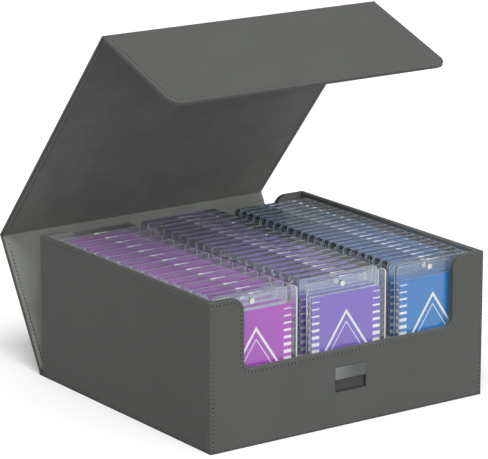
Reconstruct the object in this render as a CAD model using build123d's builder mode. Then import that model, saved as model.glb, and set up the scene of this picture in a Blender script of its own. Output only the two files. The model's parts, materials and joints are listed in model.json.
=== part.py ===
from build123d import *
import os
from math import cos, floor, radians, sin

# Card storage case: a lined box, a cover of three folding panels, and three rows of clear card holders.
# +Z is up, X runs across, the front faces -Y, and the origin lies under the middle of the box.
# The cover is modelled standing open, and closes over the back, the top and the front.

os.makedirs("parts", exist_ok=True)

# Sheet goods, millimetres
skin = 1.0  # leatherette wrapped over every board
wall_board = 3.2  # board inside the walls and the base
cover_board = 1.8  # board inside the cover panels
lining = 0.9  # soft microfibre glued over the inner faces

# Card holders
insert_width = 70.0
insert_height = 96.0
insert_side = 5.25  # clear border beside the printed insert
insert_drop = 14.0  # clear border above it, which holds the magnets
insert_sill = 11.0  # clear border below it
insert_play = 0.15
holder_corner = 3.0  # corner radius, or chamfer in the packed rows
lid_thickness = 2.2  # clear front half
split_gap = 0.1  # between the two clear halves
row_holders = {"left": 17.5, "middle": 12.1, "right": 9.9}  # thickness of one holder
row_inserts = {"left": 9.0, "middle": 4.5, "right": 2.4}  # thickness of its printed insert
magnet_diameter = 5.0
magnet_length = 2.4  # in the clear back half
lid_magnet_length = 1.4
magnet_drop = 6.0  # from the holder's top edge to the magnet's centre
magnet_shift = 4.5  # from the holder's middle to the magnet's centre, to the left
magnet_play = 0.1
magnet_sides = 6  # sides of the plain magnets in the packed rows

# Rows in the box
holder_gap = 0.3  # between neighbours in a row
side_room = 4.0  # beside a holder, on each side
head_room = 0.6  # above a holder, below the wall's top edge
inner_depth = 249.8
spare_slots = {"left": 0, "middle": 0, "right": 1}  # room left at the back of a row, in holders
divider_thickness = 2.4
divider_height = 60.0  # just below the window sills
divider_round = 0.9  # radius of the divider's top edges

# Window in the front and back walls
post_width = 33.2  # wall left standing beside the window
sill_height = 65.7
sill_corner = 8.0
lip_corner = 12.0
corner_break = 1.0  # bevel of the box's upright corners
rim_round = 0.8  # round of the skin along the walls' top edges and windows

# Catch in the front wall
catch_width = 32.5
catch_height = 22.3
catch_bottom = 29.4
catch_depth = 2.4
tray_wall = 0.6
plate_height = 10.6
bar_magnet_length = 24.0
bar_magnet_height = 10.0

# Cover
cover_gap = 0.5  # between the closed cover and the box
fold_radius = 1.2  # round of the folded skin
fold_clearance = 0.08
crease = 0.7  # from a fold's axis to the next panel's outer edge
mitre_clearance = 0.3
flap_lip_height = 19.3  # closed flap's lip above the table
flap_corner = 12.0  # corners of the flap's lip
wrap_round = 0.8  # round of the skin along the cover's sides and lip
lining_rim = 1.2  # skin left bare around a cover lining
rear_open = 29.7  # degrees that each fold is open in the photographed stance
top_open = 20.2
flap_open = 19.9

# Worked out from the above
wall = skin + wall_board + lining
holder_width = insert_width + 2 * insert_side
holder_height = insert_sill + insert_height + insert_drop
bay_width = holder_width + 2 * side_room
row_pitch = bay_width + divider_thickness
case_width = 3 * bay_width + 2 * divider_thickness + 2 * wall
case_depth = inner_depth + 2 * wall
case_height = wall + holder_height + head_room
window_width = case_width - 2 * post_width
row_x = {"left": -row_pitch, "middle": 0.0, "right": row_pitch}
row_front = -case_depth / 2 + wall + holder_gap

cover_thickness = skin + cover_board + lining
cover_out = case_depth / 2 + cover_gap + cover_thickness  # outer face of the closed rear panel and flap
cover_top = case_height + cover_gap + cover_thickness  # outer face of the closed top panel
rear_length = cover_top - 2 * fold_radius
top_length = 2 * (cover_out - fold_radius)
flap_reach = cover_top - flap_lip_height - fold_radius
board_out = fold_radius - skin  # the cover board's faces, measured outwards from a fold's axis
board_in = board_out - cover_board
lining_in = board_in - lining

rear_heading = 90 - rear_open  # each panel's heading, in degrees from +Y towards +Z
top_heading = rear_heading + 90 - top_open
flap_heading = top_heading + 90 - flap_open


def along(point, heading, length):
    """The (y, z) point at a length from another, in a heading."""
    return (point[0] + length * cos(radians(heading)), point[1] + length * sin(radians(heading)))


spine_axis = (cover_out - fold_radius, fold_radius)
top_axis = along(spine_axis, rear_heading, rear_length)
flap_axis = along(top_axis, top_heading, top_length)


def save(piece, name):
    """Labels a finished piece and writes it."""
    piece.part.label = name
    export_step(piece.part, f"parts/{name}.step")


def wall_face(x, y, inward):
    """Plane of a wall's outer face, standing on the table, with its normal pointing into the box."""
    return Plane(origin=(x, y, 0), x_dir=Vector(0, 0, 1).cross(Vector(inward)), z_dir=inward)


def wall_outline(sketch, length, foot, window, inset=0.0):
    """Draws a wall's face, drawn back by `inset` from its top edge and its window."""
    top = case_height - inset
    with Locations((0, (top + foot) / 2)):
        Rectangle(length, top - foot)
    if window:
        sill = sill_height - inset
        with Locations((0, top)):
            Rectangle(window_width + 2 * inset, 2 * (top - sill), mode=Mode.SUBTRACT)
        reach = window_width / 2 + inset
        for level, radius in ((0, sill_corner + inset), (-1, lip_corner - inset)):
            opening = sketch.vertices().filter_by_position(Axis.X, -reach, reach)
            fillet(opening.group_by(Axis.Y)[level], radius)


def wall_panel(name, face, length, foot=0.0, window=False, catch=False):
    """Skin, board and lining of one wall, mitred into its neighbours at both ends."""
    plan = Plane(origin=face.origin, x_dir=face.x_dir, z_dir=face.x_dir.cross(face.z_dir))
    half = length / 2
    mitred = [
        (half - corner_break, 0),
        (half - corner_break / 2, corner_break / 2),
        (half - wall, wall),
        (wall - half, wall),
        (corner_break / 2 - half, corner_break / 2),
        (corner_break - half, 0),
    ]
    catch_middle = catch_bottom + catch_height / 2

    with BuildPart() as outer:
        with BuildSketch(face) as outline:
            wall_outline(outline, length, foot, window)
        extrude(amount=skin + wall_board)
        show_face = outer.faces().sort_by(Axis(face.origin, face.z_dir))[0]
        between_ends = show_face.edges().group_by(Axis(face.origin, face.x_dir))[1:-1]
        rim = ShapeList(edge for group in between_ends for edge in group).sort_by(Axis.Z)[1:]
        fillet(rim, rim_round)
        with BuildSketch(face.offset(skin)) as hollow:
            wall_outline(hollow, length, foot, window, inset=skin)
        extrude(amount=wall_board, mode=Mode.SUBTRACT)
        with BuildSketch(plan):
            Polygon(*mitred, align=None)
        extrude(amount=case_height, both=True, mode=Mode.INTERSECT)
        if catch:
            with BuildSketch(face):
                with Locations((0, catch_middle)):
                    Rectangle(catch_width, catch_height)
            extrude(amount=skin, mode=Mode.SUBTRACT)
    save(outer, f"{name}_skin")

    with BuildPart() as core:
        with BuildSketch(face.offset(skin)) as outline:
            wall_outline(outline, length, foot, window, inset=skin)
        extrude(amount=wall_board)
        with BuildSketch(plan):
            Polygon(*mitred, align=None)
        extrude(amount=case_height, both=True, mode=Mode.INTERSECT)
        if catch:
            with BuildSketch(face):
                with Locations((0, catch_middle)):
                    Rectangle(catch_width, catch_height)
            extrude(amount=catch_depth, mode=Mode.SUBTRACT)
            with BuildSketch(face):
                with Locations((0, catch_middle)):
                    Rectangle(bar_magnet_length + 2 * magnet_play, bar_magnet_height + 2 * magnet_play)
            extrude(amount=skin + wall_board, mode=Mode.SUBTRACT)
    save(core, f"{name}_board")

    with BuildPart() as inner:
        with BuildSketch(face.offset(skin + wall_board)) as outline:
            wall_outline(outline, length, foot, window)
        extrude(amount=lining)
        with BuildSketch(plan):
            Polygon(*mitred, align=None)
        extrude(amount=case_height, both=True, mode=Mode.INTERSECT)
    save(inner, f"{name}_lining")


def panel_plan(sketch, start, end, inset, lip):
    """Draws a cover panel seen flat, drawn back by `inset` at its sides, with round corners where it ends in a lip."""
    with Locations(((start + end) / 2, 0)):
        Rectangle(end - start, case_width - 2 * inset)
    if lip:
        fillet(sketch.vertices().group_by(Axis.X)[-1], flap_corner - inset)


def cover_panel(name, axis, heading, length, fold_end, magnet_at=None):
    """One cover panel: its skin rolls round the fold behind it and carries the fold ahead, or ends in a lip."""
    section = Plane(
        origin=(0, *axis), x_dir=(0, cos(radians(heading)), sin(radians(heading))), z_dir=(-1, 0, 0)
    )
    flat = Plane(origin=section.origin, x_dir=section.x_dir, z_dir=section.y_dir)
    lip = not fold_end
    run_out = 2 * fold_radius  # the skin's blank runs this far past its folds, and is then trimmed
    blank_end = length if lip else length + run_out
    mitre_start = mitre_clearance - board_in
    mitre_end = length - mitre_start
    board_start = mitre_start + skin
    board_end = length - skin if lip else length - board_start
    lining_start = mitre_clearance - lining_in + lining_rim
    lining_end = length - lining_rim if lip else length - lining_start

    with BuildPart() as outer:
        with BuildSketch(flat.offset(board_in)) as plan:
            panel_plan(plan, -run_out, blank_end, 0.0, lip)
        extrude(amount=fold_radius - board_in)
        show_face = outer.faces().sort_by(Axis(section.origin, section.y_dir))[-1]
        rim = show_face.edges().sort_by(Axis(section.origin, section.x_dir))
        fillet(rim[1:] if lip else rim[1:-1], wrap_round)
        with BuildSketch(section):
            with BuildLine():
                if lip:
                    ending = [(length, board_in)]
                else:
                    ending = [(length, 0), (length - mitre_clearance, 0), (mitre_end, board_in)]
                Polyline(
                    (crease, fold_radius),
                    (length, fold_radius),
                    *ending,
                    (mitre_start, board_in),
                    (crease, mitre_clearance - crease),
                    close=True,
                )
            make_face()
            Circle(fold_radius + fold_clearance, mode=Mode.SUBTRACT)
            if fold_end:
                with Locations((length, 0)):
                    Circle(fold_radius)
        extrude(amount=case_width / 2, both=True, mode=Mode.INTERSECT)
        with BuildSketch(flat.offset(board_in)) as plan:
            panel_plan(plan, board_start, board_end, skin, lip)
        extrude(amount=cover_board, mode=Mode.SUBTRACT)
    save(outer, f"{name}_skin")

    with BuildPart() as core:
        with BuildSketch(flat.offset(board_in)) as plan:
            panel_plan(plan, board_start, board_end, skin, lip)
        extrude(amount=cover_board)
        if magnet_at is not None:
            with BuildSketch(flat.offset(board_in)):
                with Locations((magnet_at, 0)):
                    Rectangle(bar_magnet_height + 2 * magnet_play, bar_magnet_length + 2 * magnet_play)
            extrude(amount=cover_board, mode=Mode.SUBTRACT)
    save(core, f"{name}_board")

    with BuildPart() as inner:
        with BuildSketch(flat.offset(lining_in)) as plan:
            panel_plan(plan, lining_start, lining_end, lining_rim, lip)
        extrude(amount=lining)
    save(inner, f"{name}_lining")

    if magnet_at is not None:
        with BuildPart() as magnet:
            with BuildSketch(flat.offset(board_in)):
                with Locations((magnet_at, 0)):
                    Rectangle(bar_magnet_height, bar_magnet_length)
            extrude(amount=cover_board)
        save(magnet, f"{name}_magnet")


def holder_outline(sketch, plain):
    """Draws a holder's front face: rounded corners, or plain chamfers in the packed rows."""
    with Locations((0, holder_height / 2)):
        Rectangle(holder_width, holder_height)
    if plain:
        chamfer(sketch.vertices(), holder_corner)
    else:
        fillet(sketch.vertices(), holder_corner)


def magnet_outline(radius, plain):
    """Draws a holder magnet's face in the current sketch."""
    with Locations((-magnet_shift, holder_height - magnet_drop)):
        if plain:
            RegularPolygon(radius, magnet_sides)
        else:
            Circle(radius)


def holder_pieces(thickness, insert_thickness, plain):
    """Lid, base, insert and magnets of one holder, standing on the origin with its front at y = 0."""
    split = lid_thickness + split_gap
    back = Plane.XZ.offset(-thickness)
    magnet_radius = magnet_diameter / 2
    with BuildPart() as lid:
        with BuildSketch(Plane.XZ.offset(-lid_thickness)) as outline:
            holder_outline(outline, plain)
        extrude(amount=lid_thickness)
        if not plain:
            with BuildSketch(Plane.XZ.offset(-lid_thickness)):
                magnet_outline(magnet_radius + magnet_play, plain)
            extrude(amount=lid_magnet_length + magnet_play, mode=Mode.SUBTRACT)

    with BuildPart() as base:
        with BuildSketch(back) as outline:
            holder_outline(outline, plain)
        extrude(amount=thickness - split)
        with BuildSketch(Plane.XZ.offset(-split)):
            with Locations((0, holder_height - insert_drop - insert_height / 2)):
                Rectangle(insert_width + 2 * insert_play, insert_height + 2 * insert_play)
        extrude(amount=-insert_thickness - insert_play, mode=Mode.SUBTRACT)
        with BuildSketch(Plane.XZ.offset(-split)):
            magnet_outline(magnet_radius + magnet_play, plain)
        extrude(amount=-magnet_length - magnet_play, mode=Mode.SUBTRACT)

    with BuildPart() as insert:
        with BuildSketch(Plane.XZ.offset(-split)):
            with Locations((0, holder_height - insert_drop - insert_height / 2)):
                Rectangle(insert_width, insert_height)
        extrude(amount=-insert_thickness)

    with BuildPart() as magnets:
        with BuildSketch(Plane.XZ.offset(-split)):
            magnet_outline(magnet_radius, plain)
        extrude(amount=-magnet_length)
        if not plain:
            with BuildSketch(Plane.XZ.offset(-lid_thickness)):
                magnet_outline(magnet_radius, plain)
            extrude(amount=lid_magnet_length)
    return {"lid": lid.part, "base": base.part, "insert": insert.part, "magnets": magnets.part}


def holder_group(name, pieces, x, fronts):
    """Writes each kind of holder piece, repeated with its front at every given y."""
    for kind, piece in pieces.items():
        with BuildPart() as group:
            with Locations(*[(x, front, wall) for front in fronts]):
                add(piece)
        save(group, f"{name}_{kind}")


# Base: skin, board and floor lining inside the four walls
base_width = case_width - 2 * wall
for layer, bottom, thickness in (
    ("base_skin", 0.0, skin),
    ("base_board", skin, wall_board),
    ("floor_lining", skin + wall_board, lining),
):
    with BuildPart() as base_layer:
        with BuildSketch(Plane.XY.offset(bottom)):
            Rectangle(base_width, inner_depth)
        extrude(amount=thickness)
    save(base_layer, layer)

# Four walls, the back one standing on the spine strip
wall_panel("front", wall_face(0, -case_depth / 2, (0, 1, 0)), case_width, window=True, catch=True)
wall_panel("back", wall_face(0, case_depth / 2, (0, -1, 0)), case_width, foot=skin, window=True)
wall_panel("left", wall_face(-case_width / 2, 0, (1, 0, 0)), case_depth)
wall_panel("right", wall_face(case_width / 2, 0, (-1, 0, 0)), case_depth)

# Spine strip: a tongue under the back wall and the fold that the rear panel turns on
with BuildPart() as spine_strip:
    with BuildSketch(Plane.YZ):
        with Locations(((case_depth / 2 + spine_axis[0]) / 2, skin / 2)):
            Rectangle(spine_axis[0] - case_depth / 2, skin)
        with Locations(spine_axis):
            Circle(fold_radius)
    extrude(amount=case_width / 2, both=True)
    with BuildSketch(Plane.XY):
        Polygon(
            (corner_break - case_width / 2, case_depth / 2),
            (corner_break / 2 - case_width / 2, case_depth / 2 - corner_break / 2),
            (wall - case_width / 2, case_depth / 2 - wall),
            (case_width / 2 - wall, case_depth / 2 - wall),
            (case_width / 2 - corner_break / 2, case_depth / 2 - corner_break / 2),
            (case_width / 2 - corner_break, case_depth / 2),
            align=None,
        )
    extrude(amount=skin)
save(spine_strip, "spine_strip")

# Dividers between the three rows
for side, x in (("left", -row_pitch / 2), ("right", row_pitch / 2)):
    with BuildPart() as divider:
        with BuildSketch(Plane.XY.offset(wall)):
            with Locations((x, 0)):
                Rectangle(divider_thickness, inner_depth)
        extrude(amount=divider_height)
        fillet(divider.edges().filter_by(Axis.Y).group_by(Axis.Z)[-1], divider_round)
    save(divider, f"{side}_divider")

# Catch: a tray let into the front wall, a plate in its upper half and a bar magnet behind it
front_face = wall_face(0, -case_depth / 2, (0, 1, 0))
catch_middle = catch_bottom + catch_height / 2
with BuildPart() as catch_tray:
    with BuildSketch(front_face):
        with Locations((0, catch_middle)):
            Rectangle(catch_width, catch_height)
    extrude(amount=catch_depth)
    with BuildSketch(front_face):
        with Locations((0, catch_middle)):
            Rectangle(catch_width - 2 * tray_wall, catch_height - 2 * tray_wall)
    extrude(amount=catch_depth - tray_wall, mode=Mode.SUBTRACT)
save(catch_tray, "catch_tray")

with BuildPart() as catch_plate:
    with BuildSketch(front_face):
        with Locations((0, catch_bottom + catch_height - tray_wall - plate_height / 2)):
            Rectangle(catch_width - 2 * tray_wall, plate_height)
    extrude(amount=catch_depth - tray_wall)
save(catch_plate, "catch_plate")

with BuildPart() as catch_magnet:
    with BuildSketch(front_face.offset(catch_depth)):
        with Locations((0, catch_middle)):
            Rectangle(bar_magnet_length, bar_magnet_height)
    extrude(amount=skin + wall_board - catch_depth)
save(catch_magnet, "catch_magnet")

# Cover, from the spine round to the lip of the front flap
closed_flap_axis_height = cover_top - fold_radius
cover_panel("rear_panel", spine_axis, rear_heading, rear_length, fold_end=True)
cover_panel("top_panel", top_axis, top_heading, top_length, fold_end=True)
cover_panel(
    "flap",
    flap_axis,
    flap_heading,
    flap_reach,
    fold_end=False,
    magnet_at=closed_flap_axis_height - catch_middle,
)

# Rows of holders: the front one by itself, and the rest packed behind it
for row, thickness in row_holders.items():
    pitch = thickness + holder_gap
    count = floor((inner_depth - holder_gap) / pitch) - spare_slots[row]
    fronts = [row_front + place * pitch for place in range(count)]
    full = holder_pieces(thickness, row_inserts[row], plain=False)
    plain = holder_pieces(thickness, row_inserts[row], plain=True)
    holder_group(f"{row}_front", full, row_x[row], fronts[:1])
    holder_group(f"{row}_stack", plain, row_x[row], fronts[1:])

print("case", round(case_width, 2), round(case_depth, 2), round(case_height, 2))
for name, axis in (("spine", spine_axis), ("top fold", top_axis), ("flap fold", flap_axis)):
    print(name, "axis y z", [round(value, 3) for value in axis])
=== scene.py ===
"""Card storage case: leatherette, lining, seams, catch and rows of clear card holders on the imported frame."""

import json
from math import asin, cos, degrees, pi, radians, sin, tan

import bmesh
import bpy
from bpy.props import FloatProperty, FloatVectorProperty, IntProperty, PointerProperty
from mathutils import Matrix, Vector


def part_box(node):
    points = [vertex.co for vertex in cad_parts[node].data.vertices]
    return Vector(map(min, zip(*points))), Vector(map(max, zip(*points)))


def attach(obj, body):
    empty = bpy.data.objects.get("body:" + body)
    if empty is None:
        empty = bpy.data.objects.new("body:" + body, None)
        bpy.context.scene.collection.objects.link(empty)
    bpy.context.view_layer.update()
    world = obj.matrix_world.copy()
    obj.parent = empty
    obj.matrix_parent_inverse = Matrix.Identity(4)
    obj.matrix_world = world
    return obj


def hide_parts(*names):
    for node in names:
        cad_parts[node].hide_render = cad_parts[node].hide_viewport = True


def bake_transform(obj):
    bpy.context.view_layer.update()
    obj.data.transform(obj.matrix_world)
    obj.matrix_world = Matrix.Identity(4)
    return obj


bl_info = {
    "name": "Card Storage Case",
    "version": (1, 0, 0),
    "blender": (4, 5, 0),
    "location": "View3D > Sidebar > Card Case",
    "description": "Dresses a card storage case with leatherette, lining, seams and clear card holders",
    "category": "Object",
}

MM = 0.001
PHOTO_WIDTH = 488  # pixels
SIDE_WALLS = ("left", "right")
WINDOW_WALLS = {"front": -1, "back": 1}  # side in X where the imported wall's window already has its round lip
COVER_PANELS = ("rear_panel", "top_panel", "flap")
# Finish and slot of each layer of a wall or a cover panel. The slot has the name of its colour.
LAYERS = {
    "skin": ("embossed_leatherette", "leatherette"),
    "board": ("pulp_greyboard", "greyboard"),
    "lining": ("microfibre_lining", "microfibre"),
}
CARD_SLOTS = {"left": "magenta_card", "middle": "violet_card", "right": "blue_card"}
# Refractive index and clarity of the clear halves. An index below acrylic's own shows more of the inserts
# from above and from the side.
ACRYLIC_INDEX = 1.49
LID_ACRYLIC = (ACRYLIC_INDEX, 0.99)
BASE_ACRYLIC = (1.15, 0.985)
PACKED_ACRYLIC = {"left": (1.22, 0.965), "middle": (1.35, 0.965), "right": (1.3, 0.985)}
SHARP_EDGE = 35  # degrees between faces whose edge stays sharp
SEEN = ("Camera", "Glossy", "Transmission")  # light paths that look at the floor and the sky
MIX_A, MIX_B = 6, 7  # colour inputs of a Mix node
TRIM_START, TRIM_END = 4, 5  # length inputs of a Trim Curve node

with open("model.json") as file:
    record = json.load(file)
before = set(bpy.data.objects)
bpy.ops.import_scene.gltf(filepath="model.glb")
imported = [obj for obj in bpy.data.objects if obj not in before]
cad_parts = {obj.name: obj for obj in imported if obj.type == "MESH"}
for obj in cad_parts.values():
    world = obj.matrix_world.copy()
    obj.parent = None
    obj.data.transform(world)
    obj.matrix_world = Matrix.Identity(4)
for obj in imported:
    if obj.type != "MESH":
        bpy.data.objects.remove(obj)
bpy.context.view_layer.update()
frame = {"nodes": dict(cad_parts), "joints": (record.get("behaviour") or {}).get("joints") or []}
nodes = frame["nodes"]
joints = {joint["name"]: joint for joint in frame["joints"]}

# Outer faces of the box and the lines that the cover folds on
left_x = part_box("left_skin")[0].x
right_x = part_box("right_skin")[1].x
half_case = (right_x - left_x) / 2
front_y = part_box("front_skin")[0].y
back_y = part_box("back_skin")[1].y
top_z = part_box("left_skin")[1].z
spine_fold, top_fold, flap_fold = (
    Vector(joints[name]["pos_m"]) for name in ("spine_hinge", "top_fold", "flap_fold")
)
fold_radius = spine_fold.z


def linear(code):
    """Linear RGBA of an sRGB hex colour."""
    channels = [int(code[place : place + 2], 16) / 255 for place in (1, 3, 5)]
    return [c / 12.92 if c <= 0.04045 else ((c + 0.055) / 1.055) ** 2.4 for c in channels] + [1.0]


def amount(label, text, value):
    """A plain number property."""
    return FloatProperty(name=label, description=text, default=value, min=0.0)


def length(label, text, millimetres):
    """A length property, in metres."""
    return FloatProperty(name=label, description=text, default=millimetres * MM, min=0.0, unit="LENGTH")


def angle(label, text, turn):
    """An angle property, from degrees."""
    return FloatProperty(name=label, description=text, default=radians(turn), subtype="ANGLE")


def steps(label, text, count):
    """A property that counts faces."""
    return IntProperty(name=label, description=text, default=count, min=1)


def colour(label, text, code):
    """A colour property, set from an sRGB hex value."""
    return FloatVectorProperty(
        name=label, description=text, default=linear(code), size=4, min=0.0, max=1.0, subtype="COLOR"
    )


class CaseSizes(bpy.types.PropertyGroup):
    """Sizes of what the scene adds to the case"""

    post_width: length("Post width", "Wall left standing beside a window", 33.2)
    sill_height: length("Sill height", "Window sill above the table", 65.7)
    sill_corner: length("Sill corner", "Radius of a window's lower corners", 8.0)
    lip_corner: length("Lip corner", "Radius where a window meets the wall's top edge", 12.0)
    flap_corner: length("Flap corner", "Radius of the flap's lip corners", 12.0)
    cover_thickness: length("Cover thickness", "Skin, board and lining of a cover panel", 3.7)
    wall_seam: length("Wall seam", "Seam's distance from a side wall's upright edges", 4.5)
    foot_seam: length("Foot seam", "Seam's distance from a side wall's top and foot", 3.0)
    post_seam: length("Post seam", "Seam's distance from the upright corners, front and back", 2.5)
    window_seam: length("Window seam", "Seam's distance from the window's edge", 3.0)
    cover_seam: length("Cover seam", "Seam's distance from the cover's edges", 4.5)
    fold_seam: length("Fold seam", "Seam's end from a fold line", 10.0)
    stitch_pitch: length("Stitch pitch", "From one stitch to the next", 3.6)
    stitch_length: length("Stitch length", "Thread that shows of one stitch", 2.7)
    thread_width: length("Thread width", "Width of the sewing thread", 0.9)
    thread_height: length("Thread height", "Thickness of the sewing thread, half of it sunk in", 0.72)
    needle_hole: length("Needle hole", "Width of the dimple between two stitches", 1.5)
    hole_height: length("Hole height", "Thickness of the dimple's dark disc, half of it sunk in", 0.225)
    clear_corner: length("Holder corner", "Corner radius of a clear holder", 3.0)
    clear_edge: length("Holder edge", "Round of a clear holder's moulded edges", 0.5)
    insert_play: length("Insert play", "Air between an insert and its pocket", 0.15)
    thumb_length: length("Thumb notch", "Wide part of a holder's thumb notch, above its magnet", 5.5)
    thumb_width: length("Thumb width", "Wide part of the notch, across the split", 2.8)
    slit_length: length("Slit length", "Narrow part of the notch, to the right of the magnet", 9.0)
    slit_width: length("Slit width", "Narrow part of the notch, across the split", 1.3)
    notch_depth: length("Notch depth", "Frosted skin of the notch", 0.4)
    notch_rise: length("Notch rise", "Frost above the holder's top edge", 0.05)
    parting_width: length("Parting width", "Matt parting line between a holder's halves", 0.45)
    parting_inset: length("Parting inset", "Parting line below the clear faces", 0.0375)
    fold_lining: length("Fold lining", "Reach of the lining strip to each side of a fold", 10.0)
    fold_bend: length("Fold bend", "Where the lining strip starts to bend, from the fold line", 2.6)
    lining_rim: length("Lining rim", "Skin left bare around a cover lining", 1.2)
    strip_thickness: length("Strip thickness", "Lining strip across a fold", 0.6)
    corner_steps: steps("Corner steps", "Faces round a holder's corner", 5)
    disc_steps: steps("Disc steps", "Faces round a quarter of a magnet", 6)


class CaseColours(bpy.types.PropertyGroup):
    """Colours of the case, its lining and what stands in it"""

    leatherette: colour("Leatherette", "Embossed outer skin", "#5c5e5b")
    microfibre: colour("Microfibre", "Soft lining", "#7f827c")
    # Painted light: a lighter copy of the lining for the rear panel and its fold, standing in for light falling
    # there
    raised_microfibre: colour("Raised microfibre", "Rear panel's lining, its nap brushed upwards", "#969993")
    greyboard: colour("Greyboard", "Board inside the walls", "#8a8378")
    thread: colour("Thread", "Sewing thread", "#6c6e69")
    # Painted shade: the needle holes' dark colour stands in for the shade inside them
    needle_hole: colour("Needle hole", "Dimple between stitches", "#2e302d")
    catch_plate: colour("Catch plate", "Brushed metal plate", "#6b706d")
    catch_tray: colour("Catch tray", "Moulded tray behind the plate", "#373936")
    nickel: colour("Nickel", "Plated magnets", "#d9d8d3")
    acrylic: colour("Acrylic", "Clear holder halves", "#f7fbfd")
    frosting: colour("Frosting", "Milled thumb notches and the front holders' parting lines", "#f2f5f7")
    parting: colour("Parting line", "Matt edge between the halves of a packed holder", "#c4c8cc")
    left_card: colour("Left card", "Inserts of the thick holders", "#b040c0")
    middle_card: colour("Middle card", "Inserts of the medium holders", "#8064c8")
    right_card: colour("Right card", "Inserts of the thin holders", "#107dc8")
    print_white: colour("Print", "Line design on the inserts", "#f4f4f6")


class StageSettings(bpy.types.PropertyGroup):
    """Camera, light and floor"""

    view_azimuth: angle("View azimuth", "Camera's turn round the case", -35.094)
    view_elevation: angle("View elevation", "Camera's height angle", 14.604)
    view_distance: length("View distance", "From the camera to its target", 2498.9)
    target: FloatVectorProperty(
        name="Target",
        description="Point in the picture's middle",
        default=(-0.01624, 0, 0.14098),
        subtype="XYZ",
    )
    focal_pixels: amount("Focal length", "In pixels of the picture", 2944.4)
    sky: amount("Sky", "Strength of the even light", 0.46)
    ceiling: amount("Ceiling", "Brightness of the ceiling in mirrors", 0.3)
    key: amount("Key light", "Strength of the high light", 1.75)
    key_azimuth: angle("Key azimuth", "High light's turn from the front", -25)
    key_elevation: angle("Key elevation", "High light's height angle", 60)
    fill: amount("Fill light", "Strength of the low light from the front", 0.7)
    fill_azimuth: angle("Fill azimuth", "Low light's turn from the front", 10)
    fill_elevation: angle("Fill elevation", "Low light's height angle", 20)
    spread: angle("Spread", "Softness of both lights", 35)
    floor_size: length("Floor size", "Side of the square floor", 40000)
    floor: colour("Floor", "Floor as it is seen", "#ffffff")
    floor_bounce: colour("Floor bounce", "Floor as it lights the case", "#aaaaaa")
    floor_glow: amount("Floor glow", "White added to the floor where it is seen", 0.12)


def add_node(tree, kind, values=None, **settings):
    """Adds a node with its settings and values. A socket, or a node's first output in use, is linked."""
    made = tree.nodes.new(kind)
    for name, setting in settings.items():
        setattr(made, name, setting)
    for key, value in (values or {}).items():
        if isinstance(value, bpy.types.Node):
            value = next(output for output in value.outputs if output.enabled)
        if isinstance(value, bpy.types.NodeSocket):
            tree.links.new(value, made.inputs[key])
        else:
            made.inputs[key].default_value = value
    return made


def start_material(name):
    """A new material, its empty node tree and its object coordinates."""
    made = bpy.data.materials.new(name)
    made.use_nodes = True
    made.node_tree.nodes.clear()
    place = add_node(made.node_tree, "ShaderNodeTexCoord").outputs["Object"]
    return made, made.node_tree, place


def finish_material(made, values):
    """Gives a material its surface, and returns it."""
    surface = add_node(made.node_tree, "ShaderNodeBsdfPrincipled", values)
    add_node(made.node_tree, "ShaderNodeOutputMaterial", {"Surface": surface})
    return made


def rays(tree, *kinds):
    """1 on light paths of the given kinds, and 0 on others."""
    path = add_node(tree, "ShaderNodeLightPath").outputs
    found, *others = (path[f"Is {kind} Ray"] for kind in kinds)
    for other in others:
        found = add_node(tree, "ShaderNodeMath", {0: found, 1: other}, operation="MAXIMUM")
    return found


def tones(base, darker, lighter):
    """A darker and a lighter tone of a colour, for the colour inputs of a Mix node."""
    shares = {MIX_A: darker, MIX_B: lighter}
    return {key: [*(channel * share for channel in base[:3]), 1.0] for key, share in shares.items()}


def pressed_leatherette(name, base):
    """PU leatherette, embossed by rollers: a satin face whose pebble grain breaks up each highlight.

    It is darker along the foot of the box: a painted shadow where it meets the table.
    """
    made, tree, place = start_material(name)
    pebble_size = 1.3 * MM  # the real grain is about 0.7 mm, drawn coarser so that it shows
    crease_size = 3 * MM
    cloud_size = 40 * MM
    foot_height = 2 * MM
    pebbles = add_node(
        tree, "ShaderNodeTexVoronoi", {"Vector": place, "Scale": 1 / pebble_size}, feature="SMOOTH_F1"
    )
    creases = add_node(tree, "ShaderNodeTexNoise", {"Vector": place, "Scale": 1 / crease_size, "Detail": 4.0})
    clouds = add_node(tree, "ShaderNodeTexNoise", {"Vector": place, "Scale": 1 / cloud_size, "Detail": 3.0})
    clouded = add_node(tree, "ShaderNodeMix", {0: clouds, **tones(base, 0.93, 1.07)}, data_type="RGBA")
    _, _, level = add_node(tree, "ShaderNodeSeparateXYZ", {0: place}).outputs
    # Painted shadow: the tone darkens towards the table over the lowest foot_height
    painted_foot_shadow = add_node(
        tree, "ShaderNodeMapRange", {"Value": level, "From Max": foot_height, "To Min": 0.35, "To Max": 1.0}
    )
    tone = add_node(
        tree,
        "ShaderNodeMix",
        {0: 1.0, MIX_A: clouded, MIX_B: painted_foot_shadow},
        data_type="RGBA",
        blend_type="MULTIPLY",
    )
    height = add_node(tree, "ShaderNodeMath", {0: creases, 1: 0.6, 2: pebbles}, operation="MULTIPLY_ADD")
    relief = add_node(tree, "ShaderNodeBump", {"Height": height, "Strength": 0.35, "Distance": 0.12 * MM})
    gloss = add_node(tree, "ShaderNodeMapRange", {"Value": pebbles, "To Min": 0.52, "To Max": 0.66})
    return finish_material(
        made, {"Base Color": tone, "Roughness": gloss, "Specular IOR Level": 0.2, "Normal": relief}
    )


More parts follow.
